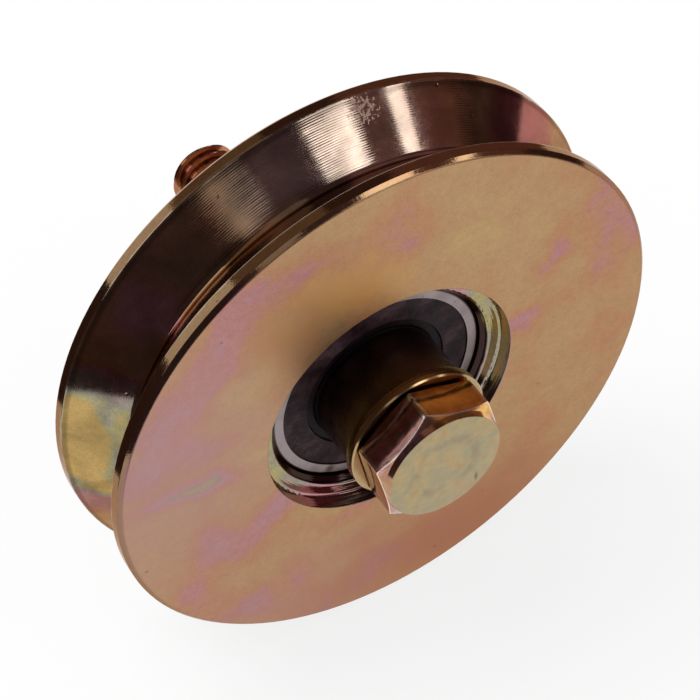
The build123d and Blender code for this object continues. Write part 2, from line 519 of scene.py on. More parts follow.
def remap(tree, value, low, high, to_low=0.0, to_high=1.0, smooth=True):
    """A value spread from one range over another, without going past its ends."""
    settings = {"interpolation_type": "SMOOTHSTEP" if smooth else "LINEAR"}
    limits = {"From_Min": low, "From_Max": high, "To_Min": to_low, "To_Max": to_high}
    return add(tree, "ShaderNodeMapRange", settings, Value=value, **limits).outputs["Result"]


def mix_values(tree, factor, first, second):
    """Two numbers mixed by a factor."""
    settings = {"data_type": "FLOAT"}
    return add(tree, "ShaderNodeMix", settings, i0=factor, i2=first, i3=second).outputs[0]


def blend(tree, factor, first, second, mode="MIX"):
    """Two colours mixed by a factor."""
    settings = {"data_type": "RGBA", "blend_type": mode, "clamp_factor": True}
    return add(tree, "ShaderNodeMix", settings, i0=factor, i6=first, i7=second).outputs[2]


def ramp(tree, value, stops):
    """A ColorRamp with (place, colour) stops, colours as linear red, green and blue."""
    node = add(tree, "ShaderNodeValToRGB", Fac=value)
    strip = node.color_ramp
    strip.interpolation = "EASE"
    while len(strip.elements) > 1:
        strip.elements.remove(strip.elements[-1])
    strip.elements[0].position = stops[0][0]
    strip.elements[0].color = (*stops[0][1], 1.0)
    for place, colour in stops[1:]:
        strip.elements.new(place).color = (*colour, 1.0)
    return node.outputs["Color"]


print("pattern helpers ready")

# %% [markdown]
# Node groups
#
# A pattern that more than one finish needs is built once as a node group and placed in each material
# with its own values, like a stamp that is pressed with more or less ink. Each group here reads the
# place on the wheel and a few named numbers, and puts out masks, values or a colour.

# %% Helpers: groups
def start_group(name, inputs, outputs):
    """A group that reads a point and named numbers; an output named Colour is a colour."""
    tree = bpy.data.node_groups.new(name, "ShaderNodeTree")
    tree.interface.new_socket("Point", in_out="INPUT", socket_type="NodeSocketVector")
    for key, value in inputs.items():
        socket = tree.interface.new_socket(key, in_out="INPUT", socket_type="NodeSocketFloat")
        socket.default_value = value
    for key in outputs:
        kind = "NodeSocketColor" if key == "Colour" else "NodeSocketFloat"
        tree.interface.new_socket(key, in_out="OUTPUT", socket_type=kind)
    entry = tree.nodes.new("NodeGroupInput")
    leave = tree.nodes.new("NodeGroupOutput")
    return tree, entry.outputs, leave.inputs


def finish_group(tree, put, **results):
    """Plug the results into the group's outputs."""
    for key, socket in results.items():
        tree.links.new(socket, put[key.replace("_", " ")])
    print("group:", tree.name)


def use(tree, group, point, **values):
    """Place a group in a material or in another group, with its own values or sockets."""
    node = tree.nodes.new("ShaderNodeGroup")
    node.node_tree = group
    tree.links.new(point, node.inputs["Point"])
    for key, value in values.items():
        socket = node.inputs[key.replace("_", " ")]
        if isinstance(value, bpy.types.NodeSocket):
            tree.links.new(value, socket)
        else:
            socket.default_value = value
    return node.outputs


print("group helpers ready")

# %% [markdown]
# Group 1: where a point is on a turned part
#
# All turned parts share one axis, here Y. Two numbers say where a point is on such a part: its radius
# and its distance from the wheel's middle plane. Tool marks, worn edges and dirt in corners all follow
# these two numbers, so they get a node group of their own. The group also puts out the direction round
# the axis, as a cosine and a sine, because these have no seam where a full turn starts again.

# %% Group: lathe place
lathe_place, given, put = start_group("lathe place", {}, ["Radius mm", "Offset mm", "Cosine", "Sine"])
tree = lathe_place
split = add(tree, "ShaderNodeSeparateXYZ", Vector=given["Point"]).outputs
square_x = times(tree, split["X"], split["X"])
square_z = times(tree, split["Z"], split["Z"])
radius_here = sums(tree, "SQRT", plus(tree, square_x, square_z))
safe_radius = larger(tree, radius_here, 0.0001)
finish_group(
    tree,
    put,
    Radius_mm=times(tree, radius_here, 1000.0),
    Offset_mm=times(tree, split["Y"], 1000.0),
    Cosine=sums(tree, "DIVIDE", split["X"], safe_radius),
    Sine=sums(tree, "DIVIDE", split["Z"], safe_radius),
)

# %% [markdown]
# Group 2: turning marks
#
# A lathe tool leaves fine rings, a few to the millimetre, and they are never quite even. A plain wave
# would draw perfect rings, which look like a record. Here a wave runs across the rings, one for each
# turn of the lathe, and a noise that is stretched far along the rings shifts it and fades it, so the
# rings start, thin out and wander like real ones. A slower noise gives broad bands for the gloss.

# %% Group: turning marks
turning_marks, given, put = start_group(
    "turning marks", {"Pitch mm": 0.3, "Wander": 1.5}, ["Ridges", "Bands"]
)
tree = turning_marks
place = use(tree, lathe_place, given["Point"])
travel = plus(tree, place["Radius mm"], times(tree, size_of(tree, place["Offset mm"]), 0.5))
across = sums(tree, "DIVIDE", travel, given["Pitch mm"])
round_x = times(tree, place["Cosine"], given["Wander"])
round_z = times(tree, place["Sine"], given["Wander"])
stretched = add(tree, "ShaderNodeCombineXYZ", X=across, Y=round_x, Z=round_z).outputs[0]
fine = noise(tree, stretched, 1.0, 2.0, 0.6)
feed = stretch(tree, fine, 0.9, across)
wave = stretch(tree, sums(tree, "SINE", times(tree, feed, 2 * math.pi)), 0.5, 0.5)
broad = add(tree, "ShaderNodeCombineXYZ", X=times(tree, across, 0.12), Y=round_x, Z=round_z).outputs[0]
finish_group(
    tree,
    put,
    Ridges=stretch(tree, wave, 0.6, times(tree, fine, 0.4)),
    Bands=noise(tree, broad, 1.0, 1.0, 0.5),
)

# %% [markdown]
# Group 3: the chromate film
#
# The gold of yellow-plated steel isn't a paint. It is a clear film, so thin that its thickness picks the
# colour: straw where it is thin, then tan, orange, rose, lilac and grey-green, and back to gold as it
# thickens. So the group doesn't mix colours at random. It makes one slow cloud of thickness and reads
# its colour from a strip of the film's colours in their real order, which is why pink always lies
# between gold and green. A much finer noise breaks the colour into the sandy speckle of the plating.

# %% Group: chromate film
chromate_film, given, put = start_group(
    "chromate film",
    {"Thickness": 0.3, "Cloud size mm": 20.0, "Cloud strength": 0.5, "Speckle": 0.2, "Darkness": 0.0},
    ["Colour", "Grain", "Cloud"],
)
tree, point = chromate_film, given["Point"]
film_colours = [
    (0.00, (0.56, 0.42, 0.21)),
    (0.18, (0.52, 0.35, 0.17)),
    (0.34, (0.50, 0.31, 0.165)),
    (0.48, (0.50, 0.27, 0.150)),
    (0.60, (0.50, 0.245, 0.225)),
    (0.72, (0.475, 0.268, 0.290)),
    (0.82, (0.34, 0.30, 0.25)),
    (0.91, (0.40, 0.36, 0.19)),
    (1.00, (0.52, 0.35, 0.13)),
]
cloud_scale = sums(tree, "DIVIDE", 1000.0, given["Cloud size mm"])
clouds = noise(tree, point, cloud_scale, 3.0, 0.45, 0.6)
swing = times(tree, minus(tree, clouds, 0.5), given["Cloud strength"])
fine_grain = noise(tree, point, 3600.0, 2.0, 0.6)
coarse_grain = noise(tree, point, 900.0, 2.0, 0.6)
grain = plus(tree, times(tree, fine_grain, 0.55), times(tree, coarse_grain, 0.45))
grain_swing = minus(tree, grain, 0.5)
thickness = plus(tree, given["Thickness"], swing)
thickness = plus(tree, thickness, times(tree, grain_swing, 0.16), clamp=True)
speckle = plus(tree, 0.94, times(tree, grain_swing, given["Speckle"]))
shade = times(tree, speckle, minus(tree, 1.0, given["Darkness"]))
film_colour = scaled(tree, ramp(tree, thickness, film_colours), shade)
finish_group(tree, put, Colour=film_colour, Grain=grain, Cloud=clouds)

# %% [markdown]
# Group 4: a worn ring
#
# Edges lose their film first: they knock against things in the bin and on the rail, and bright zinc
# shows. On a turned part every edge is a ring, known by its radius and its offset, so the mask is the
# distance to that ring, broken up by noise so that the wear comes and goes in nicks. The Bevel or
# Pointiness nodes could find edges by themselves, but they are slow or need fine meshes.

# %% Group: worn ring
worn_ring, given, put = start_group(
    "worn ring",
    {"Ring radius mm": 40.0, "Ring offset mm": 6.65, "Width mm": 0.4, "Raggedness": 0.6},
    ["Mask"],
)
tree = worn_ring
place = use(tree, lathe_place, given["Point"])
off_radius = minus(tree, place["Radius mm"], given["Ring radius mm"])
off_place = minus(tree, size_of(tree, place["Offset mm"]), given["Ring offset mm"])
squares = plus(tree, times(tree, off_radius, off_radius), times(tree, off_place, off_place))
away = sums(tree, "DIVIDE", sums(tree, "SQRT", squares), given["Width mm"])
ragged = noise(tree, given["Point"], 420.0, 4.0, 0.65)
nibble = times(tree, minus(tree, ragged, 0.5), given["Raggedness"])
reach = plus(tree, away, times(tree, nibble, 5.0))
finish_group(tree, put, Mask=remap(tree, reach, 1.1, 0.3))

# %% [markdown]
# Group 5: knocks and scratches
#
# A wheel that has lain in a box with others carries small pits and short scratches. Voronoi cells give
# scattered spots: only the cells whose own random number is high hold a pit, so they don't line up.
# Scratches are thin places where a stretched, bent noise passes through one chosen value. Two such
# noises, turned differently, give scratches that cross.

# %% Group: knocks
knocks, given, put = start_group(
    "knocks", {"Pit spacing mm": 3.0, "Pit size": 0.12}, ["Pits", "Scratches"]
)
tree, point = knocks, given["Point"]
pit_scale = sums(tree, "DIVIDE", 1000.0, given["Pit spacing mm"])
cells = add(tree, "ShaderNodeTexVoronoi", {"feature": "F1"}, Vector=point, Scale=pit_scale, Randomness=1.0)
chosen = add(tree, "ShaderNodeSeparateColor", Color=cells.outputs["Color"]).outputs[0]
near = remap(tree, sums(tree, "DIVIDE", cells.outputs["Distance"], given["Pit size"]), 1.0, 0.2)
pits = times(tree, near, remap(tree, chosen, 0.72, 0.80))
lines = []
for turn, squeeze in ((0.5, 260.0), (2.1, 210.0)):
    turned = add(
        tree,
        "ShaderNodeMapping",
        Vector=point,
        Rotation=(0.3, turn, 0.2),
        Scale=(squeeze, 60.0, 9.0),
    ).outputs[0]
    wisps = noise(tree, turned, 1.0, 1.0, 0.5, 0.4)
    lines.append(remap(tree, size_of(tree, minus(tree, wisps, 0.62)), 0.008, 0.0))
finish_group(tree, put, Pits=pits, Scratches=larger(tree, *lines))

# %% [markdown]
# Starting a material
#
# Each finish starts the same way: an empty material, a Principled BSDF, and the Object coordinates that
# all the patterns read. Numbers that are the same all over a surface are set on the shader's own
# sockets. A patch is a soft spot round one place, which lets a finish follow the real object where no
# noise would: it is the distance to that place, smoothed off at its rim.

# %% Helpers: materials
def start_material(name, **constants):
    """A new finish, with its tree, its shader and the place on the piece."""
    material = bpy.data.materials.new(name)
    material.use_nodes = True
    tree = material.node_tree
    tree.nodes.clear()
    leave = tree.nodes.new("ShaderNodeOutputMaterial")
    shader = tree.nodes.new("ShaderNodeBsdfPrincipled")
    tree.links.new(shader.outputs[0], leave.inputs["Surface"])
    for key, value in constants.items():
        shader.inputs[key.replace("_", " ")].default_value = value
    point = tree.nodes.new("ShaderNodeTexCoord").outputs["Object"]
    return material, tree, shader, point


def plug(tree, shader, **finishes):
    """Plug colours, values and normals into the shader's sockets."""
    for key, socket in finishes.items():
        tree.links.new(socket, shader.inputs[key.replace("_", " ")])


def bump(tree, height, distance_mm, strength=1.0, under=None):
    """A Bump node, as a normal; under is a normal to stack it on."""
    node = add(tree, "ShaderNodeBump", Height=height, Strength=strength, Distance=distance_mm * mm)
    if under is not None:
        tree.links.new(under, node.inputs["Normal"])
    return node.outputs["Normal"]


def patch(tree, point, place_mm, size_mm, amount, squash=(1, 1, 1), core=0.0):
    """A soft patch, worth this amount inside its core; squash above 1 narrows it along X, Y or Z."""
    moved = vectors(tree, "SUBTRACT", point, [c * mm for c in place_mm])
    sized = vectors(tree, "MULTIPLY", moved, [1000.0 * s / size_mm for s in squash])
    return times(tree, remap(tree, length(tree, sized), 1.0, core), amount)


def dress(material, *names):
    """Give CAD nodes this finish."""
    for name in names:
        slots = nodes[name].data.materials
        slots.clear()
        slots.append(material)
    print(material.name, "on", len(names))


print("material kit ready")

# %% [markdown]
# The wheel's plating, step 1: places on the wheel
#
# The wheel is one piece, but its face, its groove and its hub look different, so each gets a mask made
# from the radius and the offset. The clouds of the real film also have uneven outlines. So the patches
# are drawn on a point that noise has pushed about, by up to a few millimetres for the soft clouds and
# by less for what must stay in its place.

# %% Wheel plating: places
wheel_plating, tree, shader, point = start_material(
    "wheel plating", Metallic=1.0, Specular_Tint=(0.80, 0.62, 0.52, 1.0)
)
where = use(tree, lathe_place, point)
away_from_middle = size_of(tree, where["Offset mm"])
on_face = remap(tree, away_from_middle, 8.45, 8.62)
on_front = remap(tree, where["Offset mm"], -8.0, -8.5)
inside_lands = remap(tree, away_from_middle, 6.7, 6.55)
in_groove = times(tree, remap(tree, where["Radius mm"], 33.2, 33.5), inside_lands)
inside_ledge = remap(tree, where["Offset mm"], -5.2, -5.6)
in_hub = times(tree, remap(tree, where["Radius mm"], 18.6, 18.4), inside_ledge)
on_land = remap(tree, where["Radius mm"], 39.2, 39.6)
sway = noise(tree, point, 95.0, 4.0, 0.55, output="Color")
sway = vectors(tree, "SUBTRACT", sway, (0.5, 0.5, 0.5))
bent = vectors(tree, "ADD", point, scaled(tree, sway, 0.016))
bent_little = vectors(tree, "ADD", point, scaled(tree, sway, 0.005))
print("masks for the wheel's face, groove, hub and lands")

# %% [markdown]
# The wheel's plating, step 2: the film's thickness
#
# The film on the face has clouds that no noise would put in the right place: lilac spots at the upper
# left and right, a rosy lower left, and one long streak of grey-green at the left. They are patches of
# thicker or thinner film, where the wheel hung against its neighbours in the dipping basket. Added
# together they change only the thickness, so the film's strip of colours does the rest. The pink spots
# are limited as one sum, or where they overlap they would reach the green.

# %% Wheel plating: film
film_base = 0.36
face, groove = -8.65, 3.0  # places along the axis, in millimetres
face_spots = [  # x, z, size, thickness, squash along x and z
    (-19, 30, 12, 0.32, 0.8, 1.1),
    (-26, 23, 10, 0.30, 1, 1),
    (-31, 14, 11, 0.36, 1.2, 0.9),
    (-29, 5.5, 9, 0.28, 0.9, 1.3),
    (-36, 9, 9, 0.26, 1.6, 0.8),
    (0, 31, 9, 0.20, 0.9, 1.1),
    (24, 15, 7, 0.30, 1.9, 0.8),
    (34, 13, 12, 0.24, 1.5, 0.8),
    (31, 23, 7, 0.20, 1, 1),
    (21, 4, 5, 0.34, 1, 1),
    (-17, -11, 7, 0.34, 0.9, 1.2),
    (-8, -19.5, 10, 0.24, 0.8, 2.2),
    (-26, -13, 8, 0.30, 1, 1.2),
    (-30, -21, 9, 0.28, 1, 1.1),
    (-21, -29, 12, 0.26, 1, 1.2),
    (-6, -35, 14, 0.24, 0.8, 1.8),
    (12, -31, 12, 0.16, 0.9, 1.6),
    (25, -21, 10, 0.18, 1, 1),
    (-21, 17, 7, -0.22, 0.9, 1.1),
    (12, 26, 15, -0.10, 0.8, 1.4),
]
face_patches = [((x, face, z), size, film, (wide, 1, high)) for x, z, size, film, wide, high in face_spots]
streak = [
    ((-28.5, face, 0.2), 11, 0.52, (0.8, 1, 3.8)),
    ((-20, face, 0.6), 6, -0.30, (0.8, 1, 3.0), 0.1),
]
groove_patches = [
    ((-36, groove, 3), 13, 0.45, (1, 0.5, 1), 0.75),
    ((-38.5, 5.4, 2.5), 5.4, 0.24, (1, 1, 0.62), 0.6),
    ((-33.5, 0.6, 4.5), 3.2, 0.16, (1, 1, 0.6), 0.4),
    ((-35.5, groove, -9.5), 7, 0.28, (1, 0.5, 1), 0.3),
    ((-28, groove, 22), 9, 0.20),
    ((12, groove, 34), 8, 0.22, (1.4, 1, 1)),
]


def add_up(tree, point, rows):
    """All the patches of a list, as one thickness."""
    total = 0.0
    for row in rows:
        total = plus(tree, total, patch(tree, point, *row))
    return total


pink = sums(tree, "MINIMUM", times(tree, add_up(tree, bent, face_patches), 0.92), 0.36)
on_front_film = plus(tree, pink, add_up(tree, bent_little, streak))
thickness = stretch(tree, on_front_film, on_front, film_base)
thickness = stretch(tree, add_up(tree, bent_little, groove_patches), in_groove, thickness)
hub_noise = noise(tree, point, 110.0, 3.0, 0.5)
hub_swing = minus(tree, hub_noise, 0.5)
hub_film = stretch(tree, hub_swing, 0.55, stretch(tree, away_from_middle, 0.07, 0.40), clamp=True)
film = use(
    tree,
    chromate_film,
    point,
    Thickness=mix_values(tree, in_hub, thickness, hub_film),
    Cloud_size_mm=8.0,
    Cloud_strength=0.48,
    Speckle=0.70,
)
print("patches on the wheel:", len(face_patches) + len(streak) + len(groove_patches))

# %% [markdown]
# The wheel's plating, step 3: tints, stains, painted reflection and painted shade
#
# A few large areas are off the strip of pure film colours: a greyish thin film where the groove is
# rubbed, rosy film at the left, and a darker, redder area low down. Above the hub, gold and amber
# patches are painted reflection and painted shade of the bolt's head. Each is a patch that mixes in its
# own colour. The groove also has drying stains, and the narrow lands at the rim are darkened as painted
# shade, since they look darker than the rest in the photograph.

# %% Wheel plating: tints, stains and painted light
tints = [  # point, mask, colour, patch
    (point, in_groove, (0.52, 0.44, 0.38), ((0, groove, 37), 20, 0.75, (1, 1, 1), 0.4)),
    # Painted reflection and painted shade of the bolt's head, on the face above the hub, in these two
    # rows:
    (bent, on_front, (0.60, 0.33, 0.10), ((-6, face, 23.5), 11, 0.62, (0.9, 1, 1.5), 0.1)),
    (bent, on_front, (0.50, 0.25, 0.09), ((-14, face, 19), 9, 0.5, (1, 1, 1), 0.2)),
    (bent, on_front, (0.465, 0.285, 0.275), ((-34, face, 5), 29, 0.55, (1, 1, 0.8), 0.1)),
    (bent, on_front, (0.475, 0.275, 0.255), ((-16, face, -34), 19, 0.45, (0.8, 1, 1), 0.1)),
    # A darker, redder patch low on the face:
    (bent, on_front, (0.40, 0.165, 0.10), ((12, face, -35), 21, 0.75, (0.6, 1, 1))),
    (bent_little, in_groove, (0.36, 0.125, 0.12), ((28.5, groove, 25.5), 9.5, 0.9, (1, 0.5, 1), 0.55)),
]
tinted = film["Colour"]
for spot, mask, tint, row in tints:
    tinted = blend(tree, times(tree, patch(tree, spot, *row), mask), tinted, tint)
stain = remap(tree, noise(tree, point, 120.0, 4.0, 0.55, 0.5), 0.36, 0.66, 0.55, 1.05, smooth=False)
# Painted shade: the narrow lands at the rim are darkened.
land_painted_shade = 0.62
shade = times(tree, mix_values(tree, in_groove, 1.0, stain), mix_values(tree, on_land, 1.0, land_painted_shade))
tinted = scaled(tree, tinted, shade)
print("tints on the wheel:", len(tints))

# %% [markdown]
# The wheel's plating, step 4: wear, pits and painted shade
#
# The sharp crest of the groove and the hub's mouth lose their film in nicks. The corner between the hub's
# lip and the bearing's outer ring is darkened nearly black as painted shade, pits are dark, and near the
# groove's bright band a small field of the plating has flaked off in chips. The painted shade and the pits
# lie on top of wear, so they are mixed in after it.

# %% Wheel plating: wear, pits and painted shade
bare_zinc, seat_shade_black = (0.62, 0.55, 0.45), (0.020, 0.011, 0.011)
pit_brown, chip_pink = (0.16, 0.09, 0.05), (0.66, 0.50, 0.42)
crest = use(
    tree, worn_ring, point, Ring_radius_mm=40.0, Ring_offset_mm=6.65, Width_mm=0.22, Raggedness=0.7
)["Mask"]
mouth = use(
    tree, worn_ring, point, Ring_radius_mm=18.45, Ring_offset_mm=8.6, Width_mm=0.18, Raggedness=0.3
)["Mask"]
hurt = use(tree, knocks, point, Pit_spacing_mm=4.0, Pit_size=0.09)
wear = larger(tree, crest, times(tree, mouth, 0.4))
colour = blend(tree, times(tree, wear, 0.40), tinted, bare_zinc)
# Painted shade: the corner between the hub's lip and the bearing's outer ring is darkened nearly black.
seat_edge = stretch(tree, hub_swing, 0.9, where["Radius mm"])
seat_painted_shade = times(tree, remap(tree, seat_edge, 16.5, 16.3), remap(tree, where["Offset mm"], -4.0, -4.4))
colour = blend(tree, times(tree, seat_painted_shade, 0.95), colour, seat_shade_black)
colour = blend(tree, times(tree, hurt["Pits"], 0.5), colour, pit_brown)
flakes = noise(tree, point, 2000.0, 4.0, 0.62)
chip_field = times(tree, patch(tree, bent_little, (4.2, 5.3, 38.4), 4.0, 1.0), in_groove)
chips = remap(tree, stretch(tree, chip_field, 0.16, flakes), 0.61, 0.66)
chipped = times(tree, chips, times(tree, chip_field, 1.3, clamp=True))
colour = blend(tree, chipped, colour, chip_pink)
print("wheel colour ready")

# %% [markdown]
# The wheel's plating, step 5: gloss and relief
#
# The groove is finely turned and glossy, while the faces are left rougher, so they show no clear
# reflections. Three bumps are stacked: the film's fine grain, the turning ridges, and the pits. Where
# the ridges are rubbed smooth, as on the faces, on the groove's front flank and at two places that shine
# like a mirror, their height is turned down.

# %% Wheel plating: gloss and relief
groove_gloss, face_dullness = 0.085, 0.295
rough = stretch(tree, on_face, face_dullness, groove_gloss)
rough = plus(tree, rough, times(tree, minus(tree, film["Grain"], 0.5), 0.20))
rough = plus(tree, rough, times(tree, minus(tree, film["Cloud"], 0.5), 0.08), clamp=True)
rough = larger(tree, rough, times(tree, chipped, 0.55))
grain_height = times(tree, film["Grain"], minus(tree, 1.0, times(tree, in_groove, 0.88)))
relief = bump(tree, grain_height, 0.014, 0.5)
front_flank = times(tree, in_groove, remap(tree, where["Offset mm"], 0.1, -0.1))
smoothed = larger(tree, times(tree, on_face, 0.85), times(tree, front_flank, 0.75))
rubbed_low = patch(tree, point, (-36, groove, 3), 18, 0.85, (1, 0.5, 1), 0.6)
rubbed_high = patch(tree, point, (11, groove, 35.5), 9, 0.85, (1, 0.5, 1), 0.5)
smoothed = larger(tree, smoothed, larger(tree, rubbed_low, rubbed_high))
marks = use(tree, turning_marks, point, Pitch_mm=0.32, Wander=3.0)
ridge_height = times(tree, marks["Ridges"], minus(tree, 1.0, smoothed))
relief = bump(tree, ridge_height, 0.007, 0.8, relief)
relief = bump(tree, minus(tree, 1.0, hurt["Pits"]), 0.04, 0.5, relief)
plug(tree, shader, Base_Color=colour, Roughness=rough, Normal=relief)
dress(wheel_plating, "wheel")

# %% [markdown]
# The bearing's rings
#
# Only the outer ring's edge and the seal show from outside, but the hidden parts are finished too. The
# rings are ground steel, grey with a faint lilac look from the oil on them, with very fine rings in
# their faces, a few dark pits and one nick. The outer ring's chamfer is darkened nearly black as
# painted shade, for the gap between the ring and the hub's lip.

# %% Bearing steel
bearing_steel, tree, shader, point = start_material("bearing steel", Metallic=1.0)
oil = noise(tree, point, 220.0, 4.0, 0.6)
tone = ramp(
    tree, oil, [(0.3, (0.25, 0.20, 0.205)), (0.55, (0.32, 0.265, 0.265)), (0.75, (0.26, 0.215, 0.235))]
)
marks = use(tree, turning_marks, point, Pitch_mm=0.12, Wander=1.0)
tone = scaled(tree, tone, stretch(tree, marks["Ridges"], 0.24, 0.88))
hurt = use(tree, knocks, point, Pit_spacing_mm=2.4, Pit_size=0.10)
tone = blend(tree, times(tree, hurt["Pits"], 0.6), tone, (0.10, 0.055, 0.035))
nick = patch(tree, point, (-7.2, -5.0, -12.9), 1.1, 0.9, (1, 1, 1), 0.2)
tone = blend(tree, nick, tone, (0.09, 0.055, 0.035))
where = use(tree, lathe_place, point)
# Painted shade: the outer ring's chamfer is darkened nearly black.
rim_painted_shade = remap(tree, where["Radius mm"], 15.25, 15.5)
tone = blend(tree, times(tree, rim_painted_shade, 0.93), tone, (0.020, 0.012, 0.013))
rough = stretch(tree, marks["Bands"], 0.16, 0.24)
relief = bump(tree, marks["Ridges"], 0.006, 0.5)
plug(tree, shader, Base_Color=tone, Roughness=rough, Normal=relief)
dress(bearing_steel, "bearing_outer_ring", "bearing_inner_ring")

# %% [markdown]
# The balls and their cage
#
# The balls are polished, with a thin smear of grease that changes their gloss. The cage and its rivets
# are stamped from strip, so they have a duller, finely mottled face. Both are one noise that feeds the
# colour, the roughness and a slight bump, so the three agree with each other.

# %% Ball steel and cage steel
def one_noise_steel(name, pattern, darkest, brightest, rough_by, rough_from, relief_mm, strength):
    """Bare steel whose colour, gloss and relief all follow one noise."""
    material, tree, shader, point = start_material(name, Metallic=1.0)
    value = noise(tree, point, *pattern)
    colour = ramp(tree, value, [(0.3, darkest), (0.7, brightest)])
    rough = stretch(tree, value, rough_by, rough_from)
    relief = bump(tree, value, relief_mm, strength)
    plug(tree, shader, Base_Color=colour, Roughness=rough, Normal=relief)
    return material


grease, stamping = (400.0, 5.0, 0.65, 1.0), (900.0, 5.0, 0.7)
ball_steel = one_noise_steel(
    "ball steel", grease, (0.62, 0.60, 0.57), (0.72, 0.70, 0.67), 0.16, 0.04, 0.002, 0.3
)
dress(ball_steel, *[f"ball_{index}" for index in range(1, 8)])
cage_steel = one_noise_steel(
    "cage steel", stamping, (0.30, 0.27, 0.24), (0.46, 0.43, 0.39), 0.3, 0.28, 0.01, 0.5
)
dress(cage_steel, "front_cage_half", "rear_cage_half", *[f"cage_rivet_{index}" for index in range(1, 8)])

# %% [markdown]
# The rubber seals
#
# A bearing's contact seal is black rubber moulded on a steel disc. Rubber isn't a metal: it is dark,
# with a soft sheen and a fine pebbled skin. Here a reddish dust lies on it in clouds, and the sealing
# lip round the inner ring is a darker ring with an uneven rim.

# %% Seal rubber
seal_rubber, tree, shader, point = start_material("seal rubber", Metallic=0.0, Specular_IOR_Level=0.10)
dust = noise(tree, point, 260.0, 5.0, 0.7)
rubber = ramp(
    tree,
    dust,
    [(0.36, (0.012, 0.005, 0.007)), (0.50, (0.034, 0.017, 0.021)), (0.62, (0.072, 0.040, 0.046))],
)
where = use(tree, lathe_place, point)
lip_edge = stretch(tree, minus(tree, dust, 0.5), 0.8, where["Radius mm"])
lip = remap(tree, lip_edge, 10.5, 10.2)
rubber = blend(tree, times(tree, lip, 0.85), rubber, (0.004, 0.002, 0.003))
relief = bump(tree, noise(tree, point, 2600.0, 3.0, 0.6), 0.012, 0.6)
plug(tree, shader, Base_Color=rubber, Roughness=stretch(tree, dust, 0.3, 0.36), Normal=relief)
dress(seal_rubber, "front_seal", "rear_seal")

# %% [markdown]
# The platings of the small parts
#
# Bushes, washers, bolt and nut are plated as the wheel is, but each came from another batch, so each
# gets the same film group with its own thickness, darkness and gloss. One function builds all of them.
# It hands back the colour that it made, so a part can have its own marks mixed in on top.

# %% Helper: a small part's plating
def small_plating(
    name, thickness, cloud_mm, swing, roughness, pitch_mm, relief_mm, darkness=0.0, scratched=0.12
):
    """Zinc and chromate on a small part: the material, its kit, and the colour made so far."""
    material, tree, shader, point = start_material(name, Metallic=1.0)
    film = use(
        tree,
        chromate_film,
        point,
        Thickness=thickness,
        Cloud_size_mm=cloud_mm,
        Cloud_strength=swing,
        Speckle=0.5,
        Darkness=darkness,
    )
    marks = use(tree, turning_marks, point, Pitch_mm=pitch_mm, Wander=2.0)
    hurt = use(tree, knocks, point, Pit_spacing_mm=2.2, Pit_size=0.11)
    scratches = times(tree, hurt["Scratches"], scratched)
    colour = blend(tree, times(tree, hurt["Pits"], 0.25), film["Colour"], (0.10, 0.05, 0.03))
    colour = blend(tree, scratches, colour, (0.66, 0.60, 0.48))
    rough = plus(tree, stretch(tree, film["Cloud"], 0.16, roughness - 0.08), scratches)
    relief = bump(tree, film["Grain"], 0.012, 0.4)
    relief = bump(tree, marks["Ridges"], relief_mm, 0.5, relief)
    plug(tree, shader, Base_Color=colour, Roughness=rough, Normal=relief)
    return material, tree, shader, point, colour


print("small plating ready")

# %% [markdown]
# Bushes and washers
#
# The bush's film is thick and brown, and deeper in the hub it is darkened nearly black as painted
# shade, broken into clouds. The flat washer has a thin, glossy straw film. The spring washer behind is a
# plain gold.

# %% Bush, washer and spring washer platings
bush_plating, tree, shader, point, colour = small_plating(
    "bush plating", 0.44, 7.0, 0.5, 0.28, pitch_mm=0.22, relief_mm=0.012, darkness=0.55, scratched=0.0
)
where = use(tree, lathe_place, point)
# Painted shade: the bush is darkened nearly black deeper in the hub, broken into clouds.
deep_shade = remap(tree, size_of(tree, where["Offset mm"]), 12.5, 7.0)
shade_clouds = remap(tree, noise(tree, point, 300.0, 4.0, 0.6), 0.35, 0.62, 0.45, 0.95)
shaded_bush_colour = blend(tree, times(tree, deep_shade, shade_clouds), colour, (0.105, 0.068, 0.060))
plug(tree, shader, Base_Color=shaded_bush_colour)
dress(bush_plating, "front_bush", "rear_bush")
washer_plating = small_plating(
    "washer plating", 0.12, 8.0, 0.4, 0.15, pitch_mm=0.25, relief_mm=0.006, darkness=0.12, scratched=0.0
)[0]
dress(washer_plating, "front_washer")
spring_washer_plating = small_plating(
    "spring washer plating", 0.30, 6.0, 0.6, 0.28, pitch_mm=0.20, relief_mm=0.015, darkness=0.12
)[0]
dress(spring_washer_plating, "spring_washer")

# %% [markdown]
# Group 6: a hexagon's worn edges
#
# A spanner and other bolts rub a hexagon bright along its corners and along the curved line where each
# flat meets the chamfer. The distance from a point to the flats, to the chamfer's cone and to the
# rounded corners can all be worked out from the place alone. The nearest edge gives the mask, and noise
# makes the rubbed line uneven.

